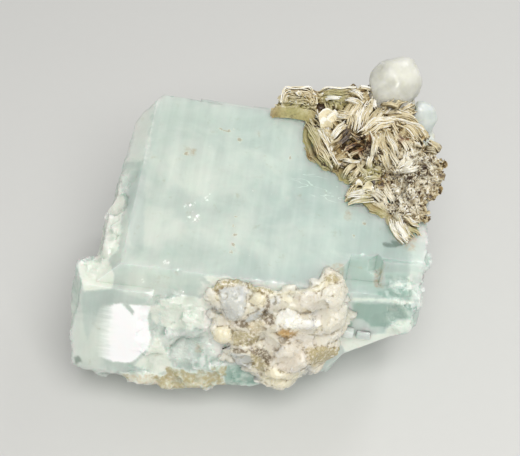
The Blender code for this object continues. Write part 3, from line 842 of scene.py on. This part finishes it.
def shapeMicaPlates(core):
    # the books, and apart from them the fine flakes
    rng = random.Random(7)
    books, flakes = bmesh.new(), bmesh.new()
    for bm in (books, flakes):
        bm.verts.layers.float.new("tone")
    laid = []
    for row in micaBooks:
        start, bow, end = (onTop(*(part / 10 for part in row[first:first + 3])) for first in (0, 3, 6))
        plates, width, tone, *stand = row[9:]
        # a dark foot paints shade between the plates
        root = 0.6 if stand else 0.3 if tone > 1.04 else 0.05  # how bright the foot of a plate is
        rise = facing(*(stand or mica["stand"]))
        book(books, start, bow, end, rise, plates * 2, width, tone, rng, root)
        laid += [(spot, 0.75) for spot in (start, (start + bow) / 2, bow, (bow + end) / 2, end)]
    barrel(books, onTop(2.3, -12.0, 2.0) - shown * 0.8, cAxis, facing(-50), 14, 4.4, 2.1, 2.0, rng)
    laid += [(onTop(*spot), radius) for *spot, radius in micaBare]
    scatter(core, {"coarse": books, "fine": flakes}, laid, rng)
    return [modified(bm, "SOLIDIFY", {"thickness": mica["thickness"], "offset": 0}) for bm in (books, flakes)]


def micaFinish():
    made = Finish("mica")
    tone, olive, grey, rust, shadeAndDirt = made.attributes("tone", "olive", "grey", "rust", "shadeAndDirt")
    speck = made.noise(0.3, 3, 0.65)
    patches = made.between(made.noise(1.1, 3), 0.4, 0.6)
    # painted shade from the dark spots lowers the level
    level = (tone + (speck - 0.5) * 0.5 - shadeAndDirt * (patches * 0.4 + 0.2)).clamp()
    low = made.layered(
        mica["tanColor"], (olive, mica["oliveColor"]), (grey * 0.8, mica["greyColor"]),
        (rust * patches, mica["rustColor"]))
    high = made.layered(
        mica["creamColor"], (olive * 0.8, mica["greenCream"]), (grey * 0.8, mica["greyCream"]),
        # painted highlight: the brightest level turns white
        (made.between(level, 0.8, 1.0) * 0.8, mica["whiteColor"]))
    # the dark end of the level paints shade between plates and in hollows
    colour = made.layered(
        mica["darkColor"], (made.between(level, 0.05, 0.35), low), (made.between(level, 0.3, 0.7), high))
    return made.output(made.milky(colour, 0.4, mica["ior"], made.bump(speck, 0.05), 0.2, (1, 0.8, 0.5), 0.3))


micaGround = shapeMicaCore()
micaBlades, micaFlakes = shapeMicaPlates(micaGround)
micaMaterial = micaFinish()
for bm, name in ((micaGround, "mica_ground"), (micaBlades, "mica_blades"), (micaFlakes, "mica_flakes")):
    for tint, listed in micaTints.items():
        mark(bm, **{tint: tinted(spots(bm), listed, 0.3)})
    piece = finish(bm, name, micaMaterial, sharp=45)
    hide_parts("muscovite")

# quartz bud and side crystal

quartz = {
    "voxel": 0.16,
    "ior": 1.54,
    "clearColor": (0.97, 0.98, 0.96),
    "budColor": (0.70, 0.70, 0.62),
    "sideColor": (0.72, 0.79, 0.76),
    "cloudAndGlintColor": (0.93, 0.93, 0.88),
    "footColor": (0.52, 0.45, 0.28),
    "neck": 4.6,  # how far it is below the bud's top, mm
    "flare": (15.5, 10.7, 24.9),  # middle of the bud's wide foot
}


def shapeQuartz(node, seed):
    bm = cadCopy(node)
    if node == "quartz_bud":
        leaning = Matrix.Translation(quartz["flare"]) @ Matrix.Rotation(math.radians(16), 4, "Y")
        bmesh.ops.create_cone(bm, cap_ends=True, segments=32, radius1=3.3, radius2=2.4, depth=4.6, matrix=leaning)
    bm = remeshed(bm, quartz["voxel"])
    pairs = joined(bm)
    places = eased(spots(bm), pairs, 16)
    moveTo(bm, places)
    facets = planes(places, 2.6, seed) * 0.4, planes(places, 0.9, seed + 1) * 0.1
    push = waves(places, 2.6, seed) * 0.2 + facets[0] + facets[1] + 0.06
    below = places[:, 2].max() - places[:, 2]
    if node == "quartz_bud":
        # the neck and the collar under it
        lower = below - quartz["neck"]
        push += 0.15 * np.exp(-((lower - 0.9) / 0.5) ** 2) - 0.4 * np.exp(-(lower / 0.35) ** 2)
    places = eased(places + normals(bm) * push[:, None], pairs, 5)
    moveTo(bm, places)
    hollow = hollows(bm, places, pairs, 6) / 0.08
    mark(bm, groove=np.clip(hollow, 0, 1), ridge=np.clip(-hollow, 0, 1), foot=ramp(below, 3.6, 5.6))
    return bm


def quartzFinish(name, colour):
    made = Finish(name)
    cloud = made.noise(2.6, 3, 0.5)
    fine = made.noise(0.4, 4, 0.6)
    groove, ridge, low = made.attributes("groove", "ridge", "foot")
    foot = low * made.between(made.noise(0.9, 3), 0.35, 0.6)
    base = made.layered(
        colour,
        # milky clouds, then painted highlight on the ridges and painted glints in fine specks
        (made.between(cloud, 0.35, 0.7) * 0.3 + ridge * 0.3, quartz["cloudAndGlintColor"]),
        (made.between(fine, 0.66, 0.72) * 0.5, quartz["cloudAndGlintColor"]),
        # the foot turns browner, and the grooves are darkened as painted shade
        ((foot * 0.8 + groove * made.between(fine, 0.3, 0.6) * 0.5).clamp(), quartz["footColor"]))
    bumps = made.bump(fine * 0.6 + made.grains(0.7) * 0.3, 0.05)
    clear = made.clear(quartz["clearColor"], 0.15, quartz["ior"], bumps)
    milky = made.milky(base, 0.28, quartz["ior"], bumps, 1.0, (1.2, 1.2, 1.0), 1.2)
    milk = (made.between(cloud, 0.3, 0.7) * 0.15 + 0.72 + foot).clamp()
    return made.output(made.blend(milk, clear, milky))


for node, colour, seed in (("quartz_bud", quartz["budColor"], 11), ("quartz_side", quartz["sideColor"], 14)):
    piece = finish(shapeQuartz(node, seed), node + "_grown", quartzFinish(node, colour), sharp=60)
    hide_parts(node)

# feldspar: grains that meet at seams, with crumbs round them

feldspar = {
    "voxel": 0.15,
    "ior": 1.53,
    "clearColor": (0.94, 0.93, 0.88),
    "tones": {
        "white": (0.92, 0.90, 0.81), "cream": (0.81, 0.74, 0.55), "pink": (0.78, 0.72, 0.62),
        "grey": (0.66, 0.68, 0.65), "pale": (0.74, 0.71, 0.61), "tan": (0.58, 0.49, 0.32),
        "olive": (0.44, 0.38, 0.21), "brown": (0.19, 0.14, 0.08), "stain": (0.46, 0.27, 0.07),
    },
    "dusty": ("olive", "tan", "brown"),  # pale grains show through these
    "lumpColor": (0.76, 0.71, 0.57),
    "shadeAndDirtColor": (0.20, 0.15, 0.07),
    "chips": (120, (0.4, 1.0), (0.05, 0.16)),  # how many, then their widths and depths in mm
}
# grains: tone, height, and the outline: along and down by turns, in tenths of a mm
feldsparGrains = [
    ("grey", 0.5, (-34, 73, -27, 68, -11, 66, -3, 71, -1, 85, -2, 97, -10, 105, -21, 104, -28, 93, -31, 82)),
    ("tan", 0.15, (-54, 60, -29, 57, -13, 57, -16, 64, -30, 71, -39, 74, -44, 68)),
    # painted highlight: light on the grey grain above, laid as a cream grain
    ("cream", 0.2, (-38, 80, -31, 75, -23, 76, -24, 82, -34, 86)),
    # painted highlight: light on the grey grain, laid as a small white grain
    ("white", 0.2, (-14, 69, -6, 69, -5, 73, -11, 73)),
    ("cream", 0.5, (1, 75, 9, 67, 18, 69, 20, 76, 16, 84, 6, 85, 1, 81)),
    ("grey", 0.35, (-1, 105, 3, 97, 12, 89, 20, 84, 19, 90, 13, 99, 5, 105)),
    ("white", 0.4, (22, 74, 28, 70, 35, 72, 35, 78, 29, 81, 24, 79)),
    ("cream", 0.4, (35, 70, 41, 66, 47, 67, 49, 72, 45, 76, 37, 75)),
    ("pink", 0.5, (53, 63, 61, 58, 72, 59, 76, 67, 76, 77, 67, 81, 58, 77, 54, 70)),
    ("white", 0.7, (32, 94, 36, 85, 44, 81, 55, 83, 62, 88, 72, 88, 82, 89, 84, 96, 77, 101, 64, 101, 57, 104, 45, 104,
        36, 103, 32, 100)),
    ("brown", -0.6, (17, 93, 22, 89, 30, 93, 32, 102, 28, 106, 22, 101)),
    ("tan", 0.3, (1, 106, 14, 99, 21, 102, 25, 111, 16, 116, 5, 114)),
    ("cream", 0.4, (-35, 123, -30, 115, -18, 112, -12, 117, -11, 129, -18, 137, -29, 136, -34, 131)),
    ("olive", 0.15, (-13, 117, 3, 116, 19, 118, 16, 128, 5, 133, -9, 135)),
    ("white", 0.3, (-4, 133, 3, 130, 8, 133, 3, 137)),
    ("brown", -0.5, (-13, 139, 5, 137, 16, 131, 30, 133, 36, 141, 33, 151, 25, 144, 11, 139, -6, 143)),
    ("olive", 0.1, (11, 139, 25, 144, 35, 151, 28, 161, 16, 157)),
    ("grey", 0.1, (-12, 144, 11, 141, 20, 156, -2, 160)),
    ("pink", 0.55, (34, 128, 42, 121, 55, 120, 70, 127, 77, 141, 76, 151, 61, 156, 49, 153, 38, 143)),
    ("white", 0.3, (37, 126, 42, 121, 49, 123, 48, 129, 41, 130)),
    ("cream", 0.35, (28, 161, 38, 152, 53, 156, 70, 153, 81, 150, 77, 165, 63, 176, 49, 176, 35, 175, 25, 173)),
    ("tan", 0.15, (72, 124, 85, 119, 112, 120, 112, 129, 97, 140, 85, 149, 77, 141)),
    ("pale", 0.2, (78, 56, 85, 48, 99, 44, 111, 55, 114, 76, 111, 92, 108, 111, 94, 118, 85, 119, 85, 97, 82, 84, 77,
        72)),
    ("pink", 0.3, (47, 117, 62, 108, 78, 108, 85, 119, 72, 124, 60, 120)),
    ("cream", 0.2, (20, 66, 54, 60, 71, 52, 81, 43, 88, 46, 76, 57, 55, 63, 23, 70)),
    ("olive", -0.1, (78, 42, 87, 36, 97, 41, 90, 47, 82, 46)),
    # painted shadow: this olive strip along the top edge stands for the shade where the grains meet the crystal
    ("olive", -0.25, (-42, 68, -27, 62, -11, 54, 0, 60, 13, 63, 26, 64, 25, 68, 3, 70, -5, 64, -14, 63, -33, 71, -36,
        76)),
    ("brown", -0.3, (18, 70, 21, 69, 24, 79, 24, 91, 18, 97, 17, 90, 21, 81)),
    ("brown", -0.3, (-11, 106, -1, 103, 6, 107, 0, 112, -9, 110)),
    ("stain", -0.15, (35, 112, 42, 105, 50, 105, 60, 105, 58, 111, 50, 116, 41, 115)),
    ("olive", 0.05, (76, 127, 85, 120, 99, 120, 117, 118, 112, 130, 94, 140, 81, 144)),
]
# crumbs that join the grains to the crystal: (along, forward, out, radius)
feldsparCrumbs = [
    (-1, 13.7, -4.9, 1), (-1.9, 13.8, -5.1, 0.9), (-2.6, 13.8, -5, 0.8), (-0.5, 15.7, -7.8, 0.9), (0.6, 16, -7.4, 1),
    (-1.4, 15.7, -8.4, 0.7), (0.1, 16.2, -9.3, 0.8), (-0.9, 16.2, -9.3, 0.6), (1.2, 16.5, -8.6, 1),
    (2, 16.7, -9.6, 0.9), (0.9, 16.6, -10.2, 0.7), (-3.1, 11.4, -0.9, 0.6), (-2.3, 11.3, -0.7, 0.6),
    (-1.2, 11, -0.4, 0.65), (-0.3, 11.2, -0.6, 0.7), (10.7, 9.6, -3.8, 0.8), (11.4, 10.3, -5.2, 0.9),
    (6.5, 13.2, -2.7, 1), (-4, 13.4, -4.3, 0.6), (-2, 16.3, -9.3, 0.5), (-3.1, 14.6, -5.7, 0.8),
    (-2.2, 14.8, -5.9, 0.9), (-0.3, 15, -6.8, 1.1), (-0.6, 13.6, -4.4, 1.2), (2.4, 15.4, -7, 1.2),
    (1.2, 15.6, -7.2, 1.1), (7, 15.6, -7.2, 1.3), (7.6, 14.8, -6.4, 1.2),
]


def shapeFeldspar():
    rng = random.Random(31)
    bm = cadCopy("feldspar")
    for along, forward, out, radius in feldsparCrumbs:
        spot = Matrix.Translation(onTop(along, forward, out - 0.1))
        bmesh.ops.create_icosphere(bm, subdivisions=2, radius=radius, matrix=spot)
    bm = remeshed(bm, feldspar["voxel"])
    places = eased(spots(bm), joined(bm), 10)
    moveTo(bm, places)
    ways = normals(bm)
    seen = ramp(ways @ np.array(shown), 0.0, 0.3)
    # a grain bulges inside its outline
    bulge = np.zeros(len(places))
    for _, height, outline in feldsparGrains:
        inside = np.clip(outlined(places, [outline]) / 0.6, 0, 1)
        bulge += 0.65 * height * np.sqrt(1 - (1 - inside) ** 2) * seen
    moveTo(bm, places + ways * (0.12 + waves(places, 3.0, 23) * 0.2 + bulge)[:, None])
    # surfaces that met while they grew run into one
    bm = remeshed(bm, feldspar["voxel"])
    pairs = joined(bm)
    places = eased(spots(bm), pairs, 2)
    moveTo(bm, places)
    ways = normals(bm)
    seen = ramp(ways @ np.array(shown), -0.2, 0.1)
    seam = np.max([np.exp(-(outlined(places, [row]) / 0.13) ** 2) for _, _, row in feldsparGrains], axis=0) * seen
    push = planes(places, 1.3, 21) * 0.34 + planes(places, 0.55, 22) * 0.2 + waves(places, 0.4, 24) * 0.05
    places = places + ways * (push - seam * 0.09)[:, None]
    moveTo(bm, places)
    places = chipped(bm, places, range(len(places)), *feldspar["chips"], rng)
    places[:, 2] = np.maximum(places[:, 2], 0)
    moveTo(bm, places)
    mark(bm, seam=seam, groove=np.clip(hollows(bm, places, pairs, 8) / 0.1, 0, 1))
    for name in feldspar["tones"]:
        listed = [outline for tone, _, outline in feldsparGrains if tone == name]
        mark(bm, **{name: ramp(outlined(places, listed), -0.3, 0.3) * seen})
    return bm


def feldsparFinish():
    made = Finish("feldspar")
    groove, seam, grey, pink, olive = made.attributes("groove", "seam", "grey", "pink", "olive")
    patches = made.noise(1.3, 4, 0.6)
    fine = made.noise(0.4, 4, 0.65)
    sugar = made.grains(0.22, "Color")
    edge = (patches - 0.5) * 1.1 + (fine - 0.5) * 1.2
    through = made.between(fine + (sugar - 0.5) * 0.12, 0.36, 0.52)
    tones = feldspar["tones"]
    colour = made.mix(made.between(patches, 0.35, 0.7), feldspar["lumpColor"], tones["pink"])
    for part, (name, tone) in zip(made.attributes(*tones), tones.items()):
        part = made.between(part + edge, 0.1, 0.95) * 0.85
        colour = made.mix(part * through if name in feldspar["dusty"] else part, colour, tone)
    # painted shade in the grooves, with dark seams between the grains and dirt at random
    shadeAndDirt = made.between(groove * 0.8 + seam * 0.5 + (fine - 0.5) * 1.6 + (patches - 0.5) * 0.8, 0.45, 1.0)
    glint = made.between(sugar + fine, 1.25, 1.5) * (0.6 - olive.clamp() * 0.45)
    colour = made.layered(colour, (shadeAndDirt * 0.55, feldspar["shadeAndDirtColor"]), (glint, tones["white"]))
    bumps = made.bump(fine * 0.5 + sugar * 0.5 + made.grains(0.35) * 0.4, 0.06)
    clear = made.clear(feldspar["clearColor"], 0.22, feldspar["ior"], bumps)
    milky = made.milky(colour, 0.3 - sugar * 0.12, feldspar["ior"], bumps, 0.9, (1.2, 1.1, 0.9), 1.7)
    milk = (0.97 - (grey + pink * 0.5) * 0.12 + shadeAndDirt * 0.2).clamp()
    return made.output(made.blend(milk, clear, milky))


feldsparPiece = finish(shapeFeldspar(), "feldspar_cluster", feldsparFinish(), sharp=35)
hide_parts("feldspar")

# floor, light and camera

studio = {
    "floorColor": (0.62, 0.62, 0.60),
    "grainColor": (0.55, 0.55, 0.54),
    "floorSize": 1.2,  # metres from its middle to a side
    # lamps: place and size in metres, power in watts, colour
    "lamps": {
        "key": ((0.04, -0.16, 0.30), 0.22, 1.0, (1.0, 0.99, 0.97)),
        "rim": ((0.14, 0.16, 0.20), 0.08, 0.12, (1.0, 1.0, 1.0)),
    },
    "lampTarget": (0, 0, 0.012),
    "skyStrength": 0.40,
    "cameraHeight": 50,  # degrees above level
    "cameraDistance": 0.138,
    "lens": 80,
}


def floorFinish():
    made = Finish("floor")
    colour = made.mix(made.noise(1.5, 4) * 0.15, studio["floorColor"], studio["grainColor"])
    return made.output(made.node("ShaderNodeBsdfPrincipled", {}, {"Base Color": colour, "Roughness": 0.75}))


def addLamp(name, spot, size, power, colour):
    light = bpy.data.lights.new(name, "AREA")
    light.shape = "SQUARE"
    light.size = size
    light.energy = power
    light.color = colour
    lamp = bpy.data.objects.new(name, light)
    lamp.location = spot
    lamp.rotation_euler = (Vector(studio["lampTarget"]) - Vector(spot)).to_track_quat("-Z", "Y").to_euler()
    bpy.context.collection.objects.link(lamp)


bm = bmesh.new()
bmesh.ops.create_grid(bm, x_segments=1, y_segments=1, size=studio["floorSize"])
floorMesh = bpy.data.meshes.new("floor")
bm.to_mesh(floorMesh)
bm.free()
floor = bpy.data.objects.new("floor", floorMesh)
bpy.context.collection.objects.link(floor)
floor.data.materials.append(floorFinish())

for name, lamp in studio["lamps"].items():
    addLamp(name, *lamp)
world = bpy.data.worlds.new("studio")
world.use_nodes = True
sky = world.node_tree.nodes["Background"].inputs
sky[0].default_value = (1, 1, 1, 1)
sky[1].default_value = studio["skyStrength"]
bpy.context.scene.world = world
bpy.context.scene.view_settings.view_transform = "Standard"

camera = bpy.data.objects.new("camera", bpy.data.cameras.new("camera"))
bpy.context.collection.objects.link(camera)
height = math.radians(studio["cameraHeight"])
camera.location = middle * mm + Vector((0, -math.cos(height), math.sin(height))) * studio["cameraDistance"]
camera.rotation_euler = (math.radians(90) - height, 0, 0)
camera.data.lens = studio["lens"]
camera.data.sensor_width = 36
camera.data.clip_start = 0.01
camera.data.clip_end = 5
bpy.context.scene.camera = camera
print("the floor, lamps, sky and camera are in place")
